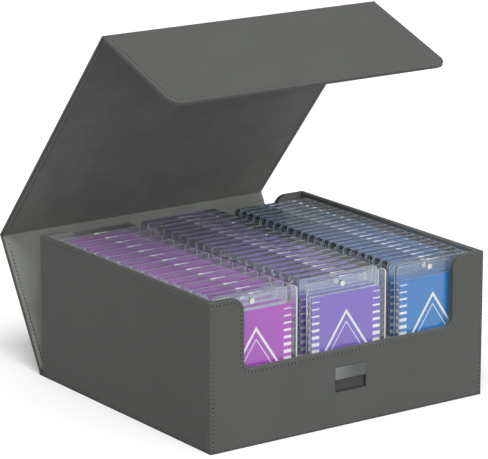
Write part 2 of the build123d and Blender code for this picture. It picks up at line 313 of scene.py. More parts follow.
def brushed_microfibre(name, base):
    """Microfibre suede: short brushed fibres, matt, with cloudy patches where the nap lies another way."""
    made, tree, place = start_material(name)
    patch_size = 46 * MM
    fibre_size = 0.9 * MM  # single fibres are far finer, drawn as tufts so that they show
    patches = add_node(
        tree,
        "ShaderNodeTexNoise",
        {"Vector": place, "Scale": 1 / patch_size, "Detail": 5.0, "Roughness": 0.6, "Distortion": 0.8},
    )
    tufts = add_node(tree, "ShaderNodeTexNoise", {"Vector": place, "Scale": 1 / fibre_size, "Detail": 2.0})
    nap = add_node(
        tree,
        "ShaderNodeMapRange",
        {"Value": patches, "From Min": 0.35, "From Max": 0.65},
        interpolation_type="SMOOTHSTEP",
    )
    tone = add_node(tree, "ShaderNodeMix", {0: nap, **tones(base, 0.93, 1.07)}, data_type="RGBA")
    relief = add_node(tree, "ShaderNodeBump", {"Height": tufts, "Strength": 0.3, "Distance": 0.1 * MM})
    return finish_material(
        made,
        {
            "Base Color": tone,
            "Roughness": 0.95,
            "Specular IOR Level": 0.1,
            "Sheen Weight": 0.15,
            "Sheen Roughness": 0.5,
            "Normal": relief,
        },
    )


def grained_material(name, base, grain, detail, contrast, values, gloss=None, relief=None):
    """A surface whose tone follows one grain, and so do its gloss and relief where they are given."""
    made, tree, place = start_material(name)
    pattern = add_node(tree, "ShaderNodeTexNoise", {"Vector": place, "Scale": 1 / grain, "Detail": detail})
    tone = add_node(tree, "ShaderNodeMix", {0: pattern, **tones(base, *contrast)}, data_type="RGBA")
    surface = {"Base Color": tone, **values}
    if gloss:
        bright, dull = gloss
        surface["Roughness"] = add_node(
            tree, "ShaderNodeMapRange", {"Value": pattern, "To Min": bright, "To Max": dull}
        )
    if relief:
        strength, depth = relief
        surface["Normal"] = add_node(
            tree, "ShaderNodeBump", {"Height": pattern, "Strength": strength, "Distance": depth}
        )
    return finish_material(made, surface)


def pulp_greyboard(name, base):
    """Grey bookbinder's board, rolled from waste paper: matt and flecked with fibres."""
    matt = {"Roughness": 0.95}
    return grained_material(name, base, grain=1.5 * MM, detail=6.0, contrast=(0.75, 1.2), values=matt)


def needle_dimple(name, base):
    """Painted shade in a needle hole: leatherette drawn into the hole, dark and matt, with a little unevenness.
    """
    matt = {"Roughness": 0.9, "Specular IOR Level": 0.1}
    return grained_material(name, base, grain=0.8 * MM, detail=2.0, contrast=(0.8, 1.2), values=matt)


def moulded_plastic(name, base):
    """ABS, moulded against a spark-eroded tool: a dull, finely pitted face."""
    pit_size = 0.8 * MM  # coarser than the real pits, which are too fine to show in the render
    pits = (0.3, 0.05 * MM)
    dull = {"Roughness": 0.55}
    return grained_material(
        name, base, grain=pit_size, detail=3.0, contrast=(0.92, 1.08), values=dull, relief=pits
    )


def plated_nickel(name, base):
    """Neodymium magnets, tumbled and nickel plated: a bright skin with soft tumbling marks."""
    metal = {"Metallic": 1.0}
    return grained_material(
        name, base, grain=1.2 * MM, detail=3.0, contrast=(0.94, 1.04), values=metal, gloss=(0.18, 0.34)
    )


def frosted_acrylic(name, base):
    """Acrylic left rough by the milling cutter: a white frost with fine cutter marks."""
    mark_size = 0.6 * MM  # coarser than the cutter's real marks, which are too fine to show in the render
    frost = {"Roughness": 0.5, "IOR": ACRYLIC_INDEX}
    return grained_material(name, base, grain=mark_size, detail=2.0, contrast=(0.9, 1.0), values=frost)


def polyester_thread(name, base):
    """Twisted polyester sewing thread: a faint sheen, and a tone that varies from stitch to stitch."""
    made, tree, place = start_material(name)
    band_size = 6.28 * MM  # far longer than a real ply, about 0.5 mm, so it shades whole stitches
    wave_size = 0.628  # metres, one band of a diagonal wave at a scale of 1
    bands = add_node(
        tree,
        "ShaderNodeTexWave",
        {"Vector": place, "Scale": wave_size / band_size, "Distortion": 1.0},
        bands_direction="DIAGONAL",
    ).outputs["Fac"]
    tone = add_node(tree, "ShaderNodeMix", {0: bands, **tones(base, 0.85, 1.1)}, data_type="RGBA")
    return finish_material(made, {"Base Color": tone, "Roughness": 0.6})


def brushed_metal(name, base):
    """Stainless plate, brushed along its length: fine streaks, and a painted reflection that brightens it
    towards its left end.
    """
    made, tree, place = start_material(name)
    streak_length = 30 * MM
    streak_width = 0.45 * MM  # wider than real brush lines, which are too fine to show in the render
    bright_end, dull_end = -16 * MM, 8 * MM  # in X
    grain = (1 / streak_length, 1 / streak_width, 1 / streak_width)
    stretch = add_node(tree, "ShaderNodeMapping", {"Vector": place, "Scale": grain})
    streaks = add_node(tree, "ShaderNodeTexNoise", {"Vector": stretch, "Scale": 1.0, "Detail": 4.0})
    streaked = add_node(tree, "ShaderNodeMix", {0: streaks, **tones(base, 0.7, 1.25)}, data_type="RGBA")
    across, _, _ = add_node(tree, "ShaderNodeSeparateXYZ", {0: place}).outputs
    # Painted reflection: the tone is raised towards bright_end and lowered towards dull_end
    painted_reflection = add_node(
        tree,
        "ShaderNodeMapRange",
        {"Value": across, "From Min": bright_end, "From Max": dull_end, "To Min": 1.5, "To Max": 0.9},
        interpolation_type="SMOOTHSTEP",
    )
    tone = add_node(
        tree,
        "ShaderNodeMix",
        {0: 1.0, MIX_A: streaked, MIX_B: painted_reflection},
        data_type="RGBA",
        blend_type="MULTIPLY",
    )
    gloss = add_node(tree, "ShaderNodeMapRange", {"Value": streaks, "To Min": 0.28, "To Max": 0.48})
    relief = add_node(tree, "ShaderNodeBump", {"Height": streaks, "Strength": 0.15, "Distance": 0.05 * MM})
    return finish_material(
        made, {"Base Color": tone, "Metallic": 1.0, "Roughness": gloss, "Normal": relief}
    )


def moulded_acrylic(name, base, ior, clarity):
    """Clear acrylic, injection moulded and polished: glass-like, with a faint flow ripple.

    Lamps shine through it, so that the inserts are lit.
    """
    made, tree, place = start_material(name)
    ripple_size = 18 * MM
    ripples = add_node(tree, "ShaderNodeTexNoise", {"Vector": place, "Scale": 1 / ripple_size, "Detail": 1.0})
    relief = add_node(tree, "ShaderNodeBump", {"Height": ripples, "Strength": 0.08, "Distance": 0.2 * MM})
    clear = add_node(
        tree,
        "ShaderNodeBsdfPrincipled",
        {
            "Base Color": list(base),
            "Roughness": 0.02,
            "IOR": ior,
            "Transmission Weight": clarity,
            "Normal": relief,
        },
    )
    passing = add_node(tree, "ShaderNodeBsdfTransparent", {"Color": (1, 1, 1, 1)})
    lamps = rays(tree, "Shadow", "Diffuse")
    shader = add_node(tree, "ShaderNodeMixShader", {0: lamps, 1: clear, 2: passing})
    add_node(tree, "ShaderNodeOutputMaterial", {"Surface": shader})
    return made


def printed_card(name, base, white, box):
    """Offset-printed card: solid ink with a double lozenge and edge bars left white, under a satin varnish.

    The bars run on over the card's sides, so the clear margin beside it shows them again.
    """
    made, tree, place = start_material(name)
    low, high = box
    middle = (low + high) / 2
    half_width, _, half_height = (high - low) / 2
    lozenge_width, lozenge_height = 0.62 * half_width, 0.66 * half_height
    line = 0.06  # half of the line's width, as a share of the lozenge's size
    inner, inner_line = 0.72, line / 3  # the same shares for the lozenge inside it
    bar_pitch = 6.2 * MM
    bar_reach = 7.5 * MM
    thick_bar, thin_bar = 3.6 * MM, 0.6 * MM  # up to the card's middle, and at its top
    flat_side = 0.5  # least part of a normal that counts as facing that way

    centred = add_node(tree, "ShaderNodeVectorMath", {0: place, 1: middle}, operation="SUBTRACT")
    across, _, up = add_node(tree, "ShaderNodeSeparateXYZ", {0: centred}).outputs
    facing = add_node(tree, "ShaderNodeTexCoord").outputs["Normal"]
    sideways, depth, _ = add_node(tree, "ShaderNodeSeparateXYZ", {0: facing}).outputs
    bar_width = add_node(
        tree,
        "ShaderNodeMapRange",
        {"Value": up, "From Min": 0.0, "From Max": half_height, "To Min": thick_bar, "To Max": thin_bar},
    )
    found = {"across": across, "up": up, "sideways": sideways, "depth": depth, "bar_width": bar_width}
    for result, operation, *terms in (
        ("side", "ABSOLUTE", "across"),
        ("rise", "ABSOLUTE", "up"),
        ("side_share", "DIVIDE", "side", lozenge_width),
        ("rise_share", "DIVIDE", "rise", lozenge_height),
        ("reach", "ADD", "side_share", "rise_share"),
        ("outer_lines", "COMPARE", "reach", 1.0, line),
        ("inner_lines", "COMPARE", "reach", inner, inner_line),
        ("lines", "MAXIMUM", "outer_lines", "inner_lines"),
        ("at_edge", "GREATER_THAN", "side", half_width - bar_reach),
        ("step", "FLOORED_MODULO", "up", bar_pitch),
        ("on_bar", "LESS_THAN", "step", "bar_width"),
        ("bars", "MULTIPLY", "at_edge", "on_bar"),
        ("design", "MAXIMUM", "lines", "bars"),
        ("at_front", "LESS_THAN", "depth", -flat_side),
        ("turned", "ABSOLUTE", "sideways"),
        ("at_side", "GREATER_THAN", "turned", flat_side),
        ("on_front", "MULTIPLY", "design", "at_front"),
        ("on_side", "MULTIPLY", "bars", "at_side"),
        ("shown", "MAXIMUM", "on_front", "on_side"),
    ):
        values = {socket: found.get(term, term) for socket, term in enumerate(terms)}
        found[result] = add_node(tree, "ShaderNodeMath", values, operation=operation)

    mottle_size = 9 * MM
    mottle = add_node(tree, "ShaderNodeTexNoise", {"Vector": place, "Scale": 1 / mottle_size, "Detail": 2.0})
    ink = add_node(tree, "ShaderNodeMix", {0: mottle, **tones(base, 0.96, 1.04)}, data_type="RGBA")
    face = add_node(
        tree, "ShaderNodeMix", {0: found["shown"], MIX_A: ink, MIX_B: list(white)}, data_type="RGBA"
    )
    return finish_material(made, {"Base Color": face, "Roughness": 0.45, "Specular IOR Level": 0.3})


def dress(names, material):
    """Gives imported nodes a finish."""
    for name in names:
        nodes[name].data.materials.clear()
        nodes[name].data.materials.append(material)


def new_object(name, data):
    """Links a new object at the origin."""
    made = bpy.data.objects.new(name, data)
    bpy.context.scene.collection.objects.link(made)
    return made


def settle(piece):
    """Turns a piece's modifiers into plain mesh."""
    graph = bpy.context.evaluated_depsgraph_get()
    plain = bpy.data.meshes.new_from_object(piece.evaluated_get(graph))
    piece.modifiers.clear()
    piece.data = plain


def flatten_shading(piece):
    """Keeps flat faces flat beside rounded edges, and settles the piece."""
    flats = piece.modifiers.new("flats", "WEIGHTED_NORMAL")
    flats.keep_sharp = True
    settle(piece)


def close_shape(name, shape, sharp_edge=None):
    """Turns a bmesh into a mesh with outward faces, smooth below the sharp edge's angle if one is given."""
    bmesh.ops.recalc_face_normals(shape, faces=shape.faces)
    mesh = bpy.data.meshes.new(name)
    shape.to_mesh(mesh)
    shape.free()
    if sharp_edge:
        mesh.shade_smooth()
        mesh.set_sharp_from_angle(angle=radians(sharp_edge))
    return mesh


def direction(turn, height):
    """Unit vector away from the case, turned from its front and raised by a height angle."""
    return Vector((sin(turn) * cos(height), -cos(turn) * cos(height), sin(height)))


def arc(centre, radius, start, end, count=8):
    """Points of an arc between two angles in degrees."""
    turns = [radians(start + (end - start) * step / count) for step in range(count + 1)]
    return [(centre[0] + radius * cos(turn), centre[1] + radius * sin(turn)) for turn in turns]


def both_halves(right_half):
    """Points of a run across the case, from those on its right half."""
    return [(-across, along) for across, along in reversed(right_half)] + right_half


def window_seam(sizes):
    """Seam across a front or back wall, drawn back from its top edge and its window, from end to end."""
    inset = sizes.window_seam
    edge = half_case - sizes.post_width
    lip = (edge + sizes.lip_corner, top_z - sizes.lip_corner)
    sill = (edge - sizes.sill_corner, sizes.sill_height + sizes.sill_corner)
    right_half = [
        *arc(sill, sizes.sill_corner + inset, -90, 0),
        *arc(lip, sizes.lip_corner - inset, 180, 90),
        (half_case - sizes.post_seam, top_z - inset),
    ]
    return both_halves(right_half)


def upright_seam(sizes, side):
    """Seam beside an upright corner of a front or back wall."""
    x = side * (half_case - sizes.post_seam)
    return [(x, sizes.post_seam), (x, top_z - sizes.window_seam - sizes.stitch_pitch)]


def side_seam(sizes):
    """Closed seam round a side wall."""
    low, high = sizes.foot_seam, top_z - sizes.foot_seam
    half = (back_y - front_y) / 2 - sizes.wall_seam
    corners = [(-half, low), (half, low), (half, high), (-half, high)]
    return corners + corners[:1]


def panel_sides(sizes, panel_length):
    """Two seams along the sides of a cover panel between two folds."""
    across = half_case - sizes.cover_seam
    ends = (sizes.fold_seam, panel_length - sizes.fold_seam)
    return [[(side * across, end) for end in ends] for side in (-1, 1)]


def flap_seam(sizes, panel_length):
    """Seam round the flap, up one side, along its lip and down the other."""
    inset = sizes.cover_seam
    corner = (half_case - sizes.flap_corner, panel_length - sizes.flap_corner)
    right_half = [*arc(corner, sizes.flap_corner - inset, 90, 0), (half_case - inset, sizes.fold_seam)]
    return both_halves(right_half)


def rotate_in_section(way, turn):
    """A direction in the YZ section, turned from +Y towards +Z."""
    return Vector((0, way.y * cos(turn) - way.z * sin(turn), way.y * sin(turn) + way.z * cos(turn)))


def panel_ways():
    """Directions of the rear panel, the top panel and the flap, each from its fold outwards."""
    rear_way = (top_fold - spine_fold).normalized()
    top_way = (flap_fold - top_fold).normalized()
    flap_way = rotate_in_section(top_way, radians(90 + joints["flap_fold"]["range_deg"][0]))
    return rear_way, top_way, flap_way


def fold_mesh(name, fold, before, after, sizes):
    """A strip of lining from one panel's inner face to the next, rounded into the corner between them."""
    half = half_case - sizes.lining_rim
    bend_steps = 16
    proud = 0.2  # share of the strip that stands above the panels' lining
    fold_edge = 50  # degrees, more than one step of the bend
    shape = bmesh.new()
    layers = []
    for lift in (proud * sizes.strip_thickness, (proud - 1) * sizes.strip_thickness):
        height = sizes.cover_thickness - fold_radius + lift
        inward = [rotate_in_section(way, pi / 2) * height for way in (before, after)]
        start = fold + inward[0] - before * sizes.fold_bend
        end = fold + inward[1] + after * sizes.fold_bend
        corner = fold + inward[0] - before * (height * tan(before.angle(after) / 2))
        shares = [step / bend_steps for step in range(bend_steps + 1)]
        run = sizes.fold_lining - sizes.fold_bend
        path = [start - before * run]
        path += [start * (1 - t) ** 2 + corner * 2 * t * (1 - t) + end * t**2 for t in shares]
        path += [end + after * run]
        layers.append([[shape.verts.new(point + Vector((x, 0, 0))) for x in (-half, half)] for point in path])
    for place in range(bend_steps + 2):
        upper, lower = ((layer[place], layer[place + 1]) for layer in layers)
        faces = [(near[0], near[1], far[1], far[0]) for near, far in (upper, lower)]
        faces += [(upper[0][side], upper[1][side], lower[1][side], lower[0][side]) for side in (0, 1)]
        for corners in faces:
            shape.faces.new(corners).material_index = int(place > bend_steps / 2)
    for place, finish in ((0, 0), (-1, 1)):
        shape.faces.new(layers[0][place] + layers[1][place][::-1]).material_index = finish
    return close_shape(name, shape, fold_edge)


def seam_runs(sizes):
    """Every seam, by the body it rides on, as (origin, across, along, face normal, points)."""
    x_axis, y_axis, z_axis = Vector((1, 0, 0)), Vector((0, 1, 0)), Vector((0, 0, 1))
    runs = {"case": [], "rear_panel": [], "top_panel": [], "front_flap": []}
    for y, normal in ((front_y, -y_axis), (back_y, y_axis)):
        wall = (Vector((0, y, 0)), x_axis, z_axis, normal)
        runs["case"].append((*wall, window_seam(sizes)))
        runs["case"] += [(*wall, upright_seam(sizes, side)) for side in (-1, 1)]
    for x, normal in ((left_x, -x_axis), (right_x, x_axis)):
        runs["case"].append((Vector((x, 0, 0)), y_axis, z_axis, normal, side_seam(sizes)))

    rear_way, top_way, flap_way = panel_ways()
    rear_length = (top_fold - spine_fold).length
    top_length = (flap_fold - top_fold).length
    flap_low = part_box("flap_skin")[0]
    flap_length = (flap_low - flap_fold).dot(flap_way) - fold_radius * abs(flap_way.z)
    for body, fold, way, seams in (
        ("rear_panel", spine_fold, rear_way, panel_sides(sizes, rear_length)),
        ("top_panel", top_fold, top_way, panel_sides(sizes, top_length)),
        ("front_flap", flap_fold, flap_way, [flap_seam(sizes, flap_length)]),
    ):
        outward = rotate_in_section(way, -pi / 2)
        for normal, lift in ((outward, fold_radius), (-outward, sizes.cover_thickness - fold_radius)):
            face = (fold + normal * lift, x_axis, way, normal)
            runs[body] += [(*face, points) for points in seams]
    return runs


def path_mesh(name, runs):
    """Edges along seams, with the face's normal kept at every point."""
    places, normals, edges = [], [], []
    for origin, across, along, normal, points in runs:
        first = len(places)
        places += [origin + across * u + along * v for u, v in points]
        normals += [normal] * len(points)
        edges += [(first + place, first + place + 1) for place in range(len(points) - 1)]
    mesh = bpy.data.meshes.new(name)
    mesh.from_pydata(places, edges, [])
    kept = mesh.attributes.new("face_normal", "FLOAT_VECTOR", "POINT")
    kept.data.foreach_set("vector", [value for normal in normals for value in normal])
    return mesh


def start_tree(name, inputs):
    """A Geometry Nodes tree with its named inputs, and the sockets that bring them in."""
    tree = bpy.data.node_groups.new(name, "GeometryNodeTree")
    for label, kind in {"Geometry": "Geometry", **inputs}.items():
        tree.interface.new_socket(label, in_out="INPUT", socket_type=f"NodeSocket{kind}")
    tree.interface.new_socket("Geometry", in_out="OUTPUT", socket_type="NodeSocketGeometry")
    return tree, add_node(tree, "NodeGroupInput").outputs


def finish_tree(tree, placed, material):
    """Makes a tree's instances real, gives them their finish and returns the tree."""
    real = add_node(tree, "GeometryNodeRealizeInstances", {0: placed})
    finished = add_node(tree, "GeometryNodeSetMaterial", {0: real, "Material": material})
    add_node(tree, "NodeGroupOutput", {0: finished})
    return tree


def seam_tree():
    """Geometry Nodes tree that sets one small round shape at every step along a path."""
    inputs = {"Pitch": "Float", "Start": "Float", "Shape": "Vector", "Material": "Material"}
    tree, given = start_tree("seam", inputs)
    past_end = 100.0  # metres, longer than any seam
    curve = add_node(tree, "GeometryNodeMeshToCurve", {"Mesh": given["Geometry"]})
    trimmed = add_node(
        tree,
        "GeometryNodeTrimCurve",
        {"Curve": curve, TRIM_START: given["Start"], TRIM_END: past_end},
        mode="LENGTH",
    )
    points = add_node(
        tree, "GeometryNodeCurveToPoints", {"Curve": trimmed, "Length": given["Pitch"]}, mode="LENGTH"
    )
    normal = add_node(
        tree, "GeometryNodeInputNamedAttribute", {"Name": "face_normal"}, data_type="FLOAT_VECTOR"
    )
    turn = add_node(
        tree,
        "FunctionNodeAxesToRotation",
        {0: normal, 1: points.outputs["Tangent"]},
        primary_axis="Z",
        secondary_axis="X",
    )
    # A ball 1 m across, so that its scale is the size of a stitch or a hole
    ball = add_node(tree, "GeometryNodeMeshUVSphere", {"Segments": 6, "Rings": 4, "Radius": 0.5})
    smooth = add_node(tree, "GeometryNodeSetShadeSmooth", {0: ball})
    placed = add_node(
        tree,
        "GeometryNodeInstanceOnPoints",
        {"Points": points, "Instance": smooth, "Rotation": turn, "Scale": given["Shape"]},
    )
    return finish_tree(tree, placed, given["Material"])


def row_tree():
    """Geometry Nodes tree that repeats one holder piece down its row."""
    tree, given = start_tree("row", {"Count": "Int", "Pitch": "Vector", "Material": "Material"})
    places = add_node(
        tree,
        "GeometryNodeMeshLine",
        {"Count": given["Count"], "Start Location": given["Pitch"], "Offset": given["Pitch"]},
    )
    placed = add_node(tree, "GeometryNodeInstanceOnPoints", {"Points": places, "Instance": given["Geometry"]})
    return finish_tree(tree, placed, given["Material"])


def use_tree(piece, tree, **values):
    """Adds a Geometry Nodes modifier and sets its named inputs."""
    modifier = piece.modifiers.new(tree.name, "NODES")
    modifier.node_group = tree
    for item in tree.interface.items_tree:
        if item.in_out == "INPUT" and item.name in values:
            modifier[item.identifier] = values[item.name]


def rounded_loop(half_width, low, high, corner, count):
    """Points of an upright rounded rectangle, as (x, z)."""
    centres = (
        (half_width - corner, low + corner),
        (half_width - corner, high - corner),
        (corner - half_width, high - corner),
        (corner - half_width, low + corner),
    )
    points = []
    for quarter, centre in enumerate(centres):
        points += arc(centre, corner, 90 * quarter - 90, 90 * quarter, count)
    return points


def plate_loops(front, back, half_width, low, high, corner, edge):
    """Loops of an upright plate with rounded edges, from its back face round to its front."""
    turns = (90, 45, 0)  # degrees round an edge
    insets = {turn: edge * (1 - cos(radians(turn))) for turn in turns}
    drops = {turn: edge * (1 - sin(radians(turn))) for turn in turns}
    loops = [(back - drops[turn], insets[turn]) for turn in turns]
    loops += [(front + drops[turn], insets[turn]) for turn in reversed(turns)]
    return [(y, half_width - inset, low + inset, high - inset, corner - inset) for y, inset in loops]


def loft_mesh(name, x, loops, count, ring=False):
    """One closed mesh through rounded loops, each (y, half width, low, high, corner), capped or a ring."""
    shape = bmesh.new()
    rings = []
    for y, half_width, low, high, corner in loops:
        outline = rounded_loop(half_width, low, high, corner, count)
        rings.append([shape.verts.new((x + across, y, up)) for across, up in outline])
    for near, far in zip(rings, rings[1:] + rings[:1] if ring else rings[1:]):
        for place in range(len(near)):
            shape.faces.new((near[place - 1], near[place], far[place], far[place - 1]))
    if not ring:
        shape.faces.new(rings[0])
        shape.faces.new(rings[-1])
    return close_shape(name, shape, SHARP_EDGE)


def notch_mesh(name, centre, sizes):
    """A frosted thumb notch in a holder's top edge: wide over the magnet, with a slit to its right."""
    wide, narrow = sizes.thumb_width / 2, sizes.slit_width / 2
    run = sizes.thumb_length / 2 - wide
    meeting = degrees(asin(narrow / wide))
    slit_end = sizes.thumb_length / 2 + sizes.slit_length - narrow
    outline = arc((slit_end, 0), narrow, -90, 90, count=4)
    outline += arc((run, 0), wide, meeting, 90, count=3)
    outline += arc((-run, 0), wide, 90, 270, count=6)
    outline += arc((run, 0), wide, 270, 360 - meeting, count=3)
    shape = bmesh.new()
    top, bottom = (
        [shape.verts.new(centre + Vector((x, y, lift))) for x, y in outline]
        for lift in (sizes.notch_rise, -sizes.notch_depth)
    )
    shape.faces.new(top)
    shape.faces.new(bottom[::-1])
    for place in range(len(top)):
        shape.faces.new((top[place - 1], bottom[place - 1], bottom[place], top[place]))
    return close_shape(name, shape)


def holder_meshes(row, sizes):
    """Meshes of a row's front holder, where the frame has it, with its notch and its parting line."""
    lid_low, lid_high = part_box(f"{row}_front_lid")
    base_low, base_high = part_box(f"{row}_front_base")
    card_low, card_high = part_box(f"{row}_front_insert")
    disc_low, disc_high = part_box(f"{row}_front_magnets")
    x = (lid_low.x + lid_high.x) / 2
    disc_x = (disc_low.x + disc_high.x) / 2
    half_width = (lid_high.x - lid_low.x) / 2
    card_half = (card_high.x - card_low.x) / 2
    disc_radius = (disc_high.x - disc_low.x) / 2
    full_round = 0.999 * disc_radius  # just short of the radius, so that no two corners meet
    play, edge = sizes.insert_play, sizes.clear_edge
    body = (half_width, lid_low.z, lid_high.z, sizes.clear_corner, edge)
    pocket = (card_half + play, card_low.z - play, card_high.z + play, 2 * play)
    lid = plate_loops(lid_low.y, lid_high.y, *body)
    base = plate_loops(base_low.y, base_high.y, *body)
    base += [(base_low.y, *pocket), (card_high.y + play, *pocket)]
    card = plate_loops(card_low.y, card_high.y, card_half, card_low.z, card_high.z, play, play / 2)
    discs = plate_loops(disc_low.y, disc_high.y, disc_radius, disc_low.z, disc_high.z, full_round, play)
    split = (lid_high.y + base_low.y) / 2
    front, back = split - sizes.parting_width / 2, split + sizes.parting_width / 2
    shallow = sizes.parting_inset
    parting = [
        (y, half_width - inset, lid_low.z + inset, lid_high.z - inset, sizes.clear_corner - inset)
        for y, inset in ((front, edge), (front, shallow), (back, shallow), (back, edge))
    ]
    return {
        "lid": loft_mesh(f"{row}_lid", x, lid, sizes.corner_steps),
        "base": loft_mesh(f"{row}_base", x, base, sizes.corner_steps),
        "insert": loft_mesh(f"{row}_insert", x, card, sizes.corner_steps),
        "magnets": loft_mesh(f"{row}_magnets", disc_x, discs, sizes.disc_steps),
        "notch": notch_mesh(f"{row}_notch", Vector((disc_x, split, lid_high.z)), sizes),
        "parting": loft_mesh(f"{row}_parting", x, parting, sizes.corner_steps, ring=True),
    }


def mirrored_mesh(node, side):
    """A packed wall with its half on one side mirrored onto the other, so that both window lips are round."""
    weld = 0.01 * MM
    shape = bmesh.new()
    shape.from_mesh(nodes[node].data)
    bmesh.ops.remove_doubles(shape, verts=shape.verts, dist=weld)
    whole = [*shape.verts, *shape.edges, *shape.faces]
    bmesh.ops.bisect_plane(
        shape, geom=whole, dist=weld, plane_co=(0, 0, 0), plane_no=(-side, 0, 0), clear_outer=True
    )
    half = [*shape.verts, *shape.edges, *shape.faces]
    bmesh.ops.mirror(shape, geom=half, axis="X", merge_dist=weld)
    bmesh.ops.remove_doubles(shape, verts=shape.verts, dist=weld)
    return close_shape(f"{node}_shown", shape, SHARP_EDGE)


class CARDCASE_OT_box(bpy.types.Operator):
    """Finishes the box: leatherette skins, soft lining, hidden boards and round lips on both windows"""

    bl_idname = "cardcase.box"
    bl_label = "Finish box"

    def execute(self, context):
        colours = context.scene.case_colours
        makers = {"skin": pressed_leatherette, "board": pulp_greyboard, "lining": brushed_microfibre}
        other_nodes = {
            "skin": ["base_skin"],
            "board": ["base_board"],
            "lining": ["floor_lining", "left_divider", "right_divider"],
        }
        for layer, (name, slot) in LAYERS.items():
            finish = makers[layer](name, getattr(colours, slot))
            dress([f"{wall}_{layer}" for wall in SIDE_WALLS] + other_nodes[layer], finish)
            for wall, side in WINDOW_WALLS.items():
                node = f"{wall}_{layer}"
                piece = new_object(f"{node}_shown", mirrored_mesh(node, side))
                piece.data.materials.append(finish)
                flatten_shading(piece)
                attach(piece, "case")
                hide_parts(node)
        return {"FINISHED"}


class CARDCASE_OT_cover(bpy.types.Operator):
    """Finishes the cover: leatherette skins over boards, with a soft lining inside"""

    bl_idname = "cardcase.cover"
    bl_label = "Finish cover"

    def execute(self, context):
        colours = context.scene.case_colours
        for layer, (name, _) in LAYERS.items():
            dress([f"{panel}_{layer}" for panel in COVER_PANELS], bpy.data.materials[name])
        # The rear panel's lining is the microfibre made lighter: painted light
        dress(["rear_panel_lining"], brushed_microfibre("raised_microfibre", colours.raised_microfibre))
        dress(["spine_strip"], bpy.data.materials["embossed_leatherette"])
        return {"FINISHED"}


class CARDCASE_OT_catch(bpy.types.Operator):
    """Finishes the catch: brushed plate, moulded tray and the magnets behind it"""

    bl_idname = "cardcase.catch"
    bl_label = "Finish catch"

    def execute(self, context):
        colours = context.scene.case_colours
        dress(["catch_plate"], brushed_metal("brushed_stainless", colours.catch_plate))
        dress(["catch_tray"], moulded_plastic("moulded_abs", colours.catch_tray))
        dress(["catch_magnet", "flap_magnet"], plated_nickel("plated_nickel", colours.nickel))
        return {"FINISHED"}


class CARDCASE_OT_folds(bpy.types.Operator):
    """Lines the folds: a strip of lining rounded into the corner between two of the cover's panels"""

    bl_idname = "cardcase.folds"
    bl_label = "Line folds"

    def execute(self, context):
        sizes = context.scene.case_sizes
        lining = bpy.data.materials["microfibre_lining"]
        painted_lit_lining = bpy.data.materials["raised_microfibre"]
        rear_way, top_way, flap_way = panel_ways()
        for name, fold, before, after, bodies, first in (
            ("top_fold", top_fold, rear_way, top_way, ("rear_panel", "top_panel"), painted_lit_lining),
            ("flap_fold", flap_fold, top_way, flap_way, ("top_panel", "front_flap"), lining),
        ):
            piece = new_object(f"{name}_lining", fold_mesh(f"{name}_lining", fold, before, after, sizes))
            piece.data.materials.append(first)
            piece.data.materials.append(lining)
            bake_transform(piece)
        return {"FINISHED"}


class CARDCASE_OT_seams(bpy.types.Operator):
    """Sews the seams: thread and needle holes along the walls and the cover"""

    bl_idname = "cardcase.seams"
    bl_label = "Sew seams"

    def execute(self, context):
        sizes, colours = context.scene.case_sizes, context.scene.case_colours
        thread = polyester_thread("polyester_thread", colours.thread)
        dimple = needle_dimple("needle_dimple", colours.needle_hole)
        thread_shape = (sizes.stitch_length, sizes.thread_width, sizes.thread_height)
        hole_shape = (sizes.needle_hole, sizes.needle_hole, sizes.hole_height)
        tree = seam_tree()
        for body, runs in seam_runs(sizes).items():
            for name, start, shape, material in (
                ("stitches", sizes.stitch_pitch / 2, thread_shape, thread),
                ("needle_holes", 0.0, hole_shape, dimple),
            ):
                piece = new_object(f"{body}_{name}", path_mesh(f"{body}_{name}", runs))
                use_tree(piece, tree, Pitch=sizes.stitch_pitch, Start=start, Shape=shape, Material=material)
                settle(piece)
                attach(piece, body)
        return {"FINISHED"}


class CARDCASE_OT_holders(bpy.types.Operator):
    """Fills the rows: clear two-part holders with printed inserts and magnets"""

    bl_idname = "cardcase.holders"
    bl_label = "Fill rows"

    def execute(self, context):
        sizes, colours = context.scene.case_sizes, context.scene.case_colours
        frosted = frosted_acrylic("frosted_acrylic", colours.frosting)
        front_finishes = {
            "lid": moulded_acrylic("polished_acrylic", colours.acrylic, *LID_ACRYLIC),
            "base": moulded_acrylic("base_acrylic", colours.acrylic, *BASE_ACRYLIC),
            "magnets": bpy.data.materials["plated_nickel"],
            "notch": frosted,
            "parting": frosted,
        }
        matt_parting = frosted_acrylic("matt_parting_edge", colours.parting)
        tree = row_tree()
        for row, card_slot in CARD_SLOTS.items():
            ink, box = getattr(colours, f"{row}_card"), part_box(f"{row}_front_insert")
            front_finishes["insert"] = printed_card(f"{row}_printed_card", ink, colours.print_white, box)
            packed = moulded_acrylic(f"{row}_packed_acrylic", colours.acrylic, *PACKED_ACRYLIC[row])
            stack_finishes = {**front_finishes, "lid": packed, "base": packed, "parting": matt_parting}
            low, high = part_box(f"{row}_stack_lid")
            pitch = low.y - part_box(f"{row}_front_lid")[0].y
            count = round((high.y - low.y) / pitch) + 1
            for kind, mesh in holder_meshes(row, sizes).items():
                front = new_object(f"{row}_front_{kind}_shown", mesh)
                mesh.materials.append(front_finishes[kind])
                stack = new_object(f"{row}_stack_{kind}_shown", mesh.copy())
                use_tree(stack, tree, Count=count, Pitch=(0, pitch, 0), Material=stack_finishes[kind])
                for piece, group, body in (
                    (front, "front", f"{row}_front_holder"),
                    (stack, "stack", f"{row}_stack"),
                ):
                    flatten_shading(piece)
                    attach(piece, body)
                    if kind not in ("notch", "parting"):
                        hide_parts(f"{row}_{group}_{kind}")
        return {"FINISHED"}


